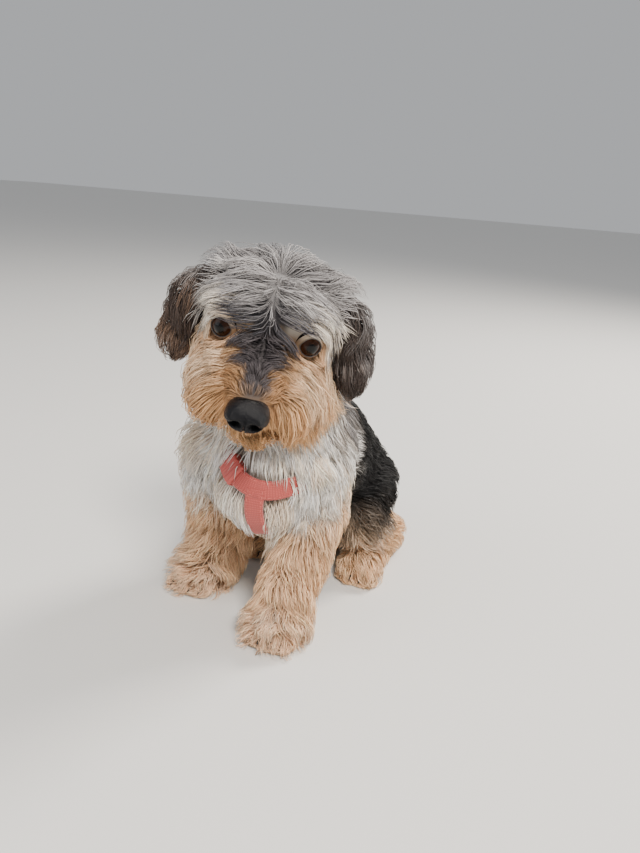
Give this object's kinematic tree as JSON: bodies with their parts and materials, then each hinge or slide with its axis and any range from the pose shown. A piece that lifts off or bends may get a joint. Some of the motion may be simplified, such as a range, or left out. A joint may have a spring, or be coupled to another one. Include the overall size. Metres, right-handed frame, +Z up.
{
  "type": "yorkshire terrier, still life-size model",
  "caption": "Life-size still model of a small terrier with a shaggy clipped coat, sitting with its head turned, in a webbing harness.",
  "frame": {"origin": "centre of the model's box on the floor, under the belly", "axes": "+Z up from the floor, +Y from the head to the tail, so it faces -Y, and +X to the dog's own left"},
  "size_m": [0.1346, 0.2832, 0.2372],
  "materials": {
    "coat_head": "long silky hair, steel grey over the crown, cream brows, gold tan cheeks and beard",
    "coat_ear": "short hair with a fringe, dark grey brown",
    "coat_cream": "soft loose hair, cream white",
    "coat_saddle": "silky hair, black",
    "coat_tan": "fluffy hair, pale gold tan",
    "eye_gloss": "wet, dark brown",
    "nose_leather": "satin black, fine pebble grain",
    "harness_webbing": "woven coral red webbing"
  },
  "bodies": {
    "root": {"chest": "coat_cream", "ear_left": "coat_ear", "ear_right": "coat_ear", "eye_left": "eye_gloss", "eye_right": "eye_gloss", "foreleg_left": "coat_tan", "foreleg_right": "coat_tan", "forepaw_left": "coat_tan", "forepaw_right": "coat_tan", "harness_back_strap": "harness_webbing", "harness_chest_strap": "harness_webbing", "harness_girth": "harness_webbing", "harness_neck_loop": "harness_webbing", "harness_slider": "harness_webbing", "head": "coat_head", "hindfoot_left": "coat_tan", "hindfoot_right": "coat_tan", "neck": "coat_cream", "nose": "nose_leather", "rump": "coat_saddle", "shank_left": "coat_tan", "shank_right": "coat_tan", "tail": "coat_saddle", "thigh_left": "coat_saddle", "thigh_right": "coat_saddle"}
  },
  "joints": []
}
